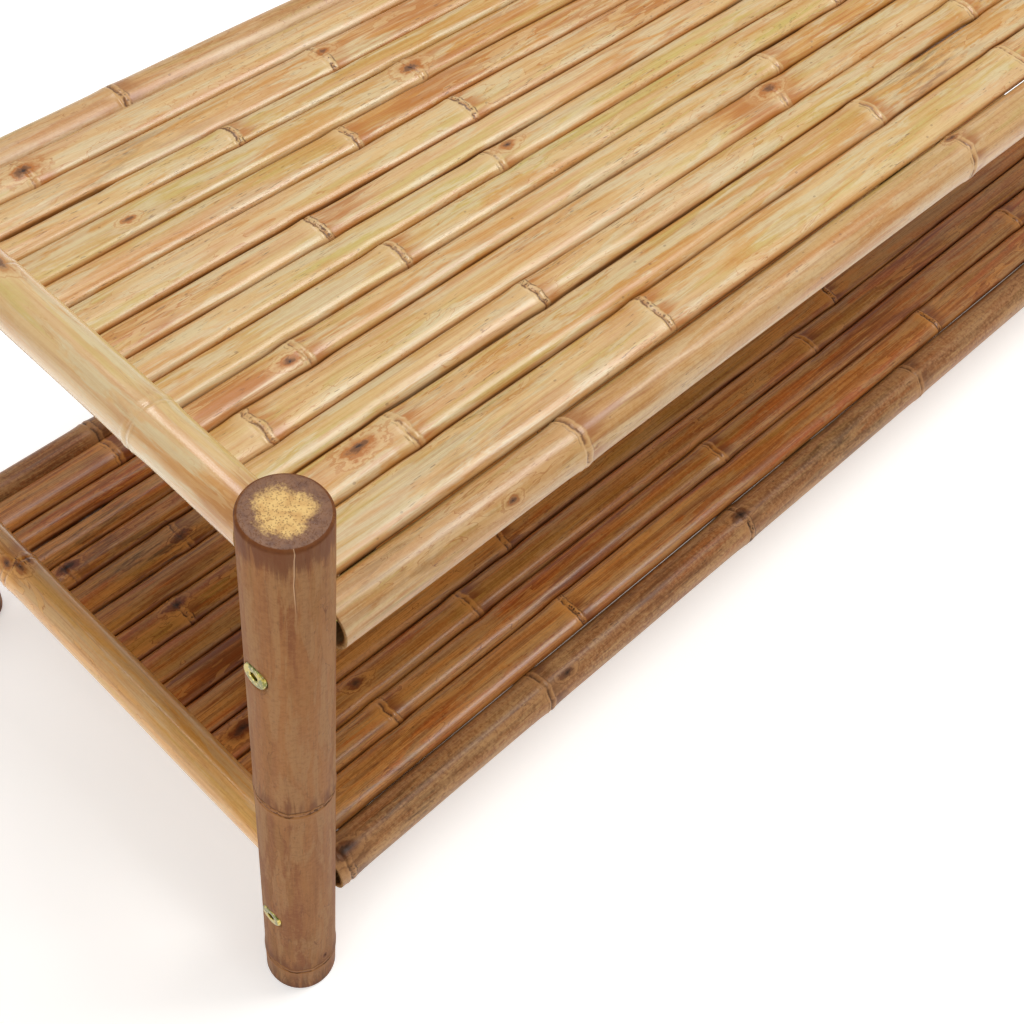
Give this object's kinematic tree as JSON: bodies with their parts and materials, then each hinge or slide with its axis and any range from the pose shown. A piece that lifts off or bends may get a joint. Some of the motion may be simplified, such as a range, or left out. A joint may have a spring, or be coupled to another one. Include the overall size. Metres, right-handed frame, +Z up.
{
  "type": "entryway bench",
  "caption": "Two-tier bamboo bench: thick corner legs, round end rails, and a slatted seat over a slatted shelf, each held between round poles by bolts through the legs.",
  "frame": {"origin": "on the floor, under the middle of the bench", "axes": "+X along the length, +Y from the front to the rear of the seat, +Z up"},
  "size_m": [1.044, 0.404, 0.46],
  "materials": {
    "leg_bamboo": "matte lacquered solid bamboo, pinkish brown with vertical fibre streaks",
    "rail_bamboo": "polished bamboo culm, pale yellow tan",
    "pole_bamboo": "lacquered bamboo culm, tan with node rings",
    "seat_slat_bamboo": "lacquered split bamboo, pale honey with fibre streaks",
    "shelf_slat_bamboo": "glossy lacquered split bamboo, brown orange",
    "batten_bamboo": "unpolished half culm",
    "zinc_bolt": "yellow zinc plated steel"
  },
  "bodies": {
    "root": {"front_left_leg": "leg_bamboo", "front_right_leg": "leg_bamboo", "left_lower_rail": "rail_bamboo", "left_upper_rail": "rail_bamboo", "rear_left_leg": "leg_bamboo", "rear_right_leg": "leg_bamboo", "right_lower_rail": "rail_bamboo", "right_upper_rail": "rail_bamboo", "seat_front_left_bolt": "zinc_bolt", "seat_front_pole": "pole_bamboo", "seat_front_right_bolt": "zinc_bolt", "seat_left_batten": "batten_bamboo", "seat_middle_batten": "batten_bamboo", "seat_rear_left_bolt": "zinc_bolt", "seat_rear_pole": "pole_bamboo", "seat_rear_right_bolt": "zinc_bolt", "seat_right_batten": "batten_bamboo", "seat_slat_01": "seat_slat_bamboo", "seat_slat_02": "seat_slat_bamboo", "seat_slat_03": "seat_slat_bamboo", "seat_slat_04": "seat_slat_bamboo", "seat_slat_05": "seat_slat_bamboo", "seat_slat_06": "seat_slat_bamboo", "seat_slat_07": "seat_slat_bamboo", "seat_slat_08": "seat_slat_bamboo", "seat_slat_09": "seat_slat_bamboo", "seat_slat_10": "seat_slat_bamboo", "seat_slat_11": "seat_slat_bamboo", "seat_slat_12": "seat_slat_bamboo", "seat_slat_13": "seat_slat_bamboo", "seat_slat_14": "seat_slat_bamboo", "shelf_front_left_bolt": "zinc_bolt", "shelf_front_pole": "pole_bamboo", "shelf_front_right_bolt": "zinc_bolt", "shelf_left_batten": "batten_bamboo", "shelf_middle_batten": "batten_bamboo", "shelf_rear_left_bolt": "zinc_bolt", "shelf_rear_pole": "pole_bamboo", "shelf_rear_right_bolt": "zinc_bolt", "shelf_right_batten": "batten_bamboo", "shelf_slat_01": "shelf_slat_bamboo", "shelf_slat_02": "shelf_slat_bamboo", "shelf_slat_03": "shelf_slat_bamboo", "shelf_slat_04": "shelf_slat_bamboo", "shelf_slat_05": "shelf_slat_bamboo", "shelf_slat_06": "shelf_slat_bamboo", "shelf_slat_07": "shelf_slat_bamboo", "shelf_slat_08": "shelf_slat_bamboo", "shelf_slat_09": "shelf_slat_bamboo", "shelf_slat_10": "shelf_slat_bamboo", "shelf_slat_11": "shelf_slat_bamboo", "shelf_slat_12": "shelf_slat_bamboo", "shelf_slat_13": "shelf_slat_bamboo", "shelf_slat_14": "shelf_slat_bamboo"}
  },
  "joints": []
}
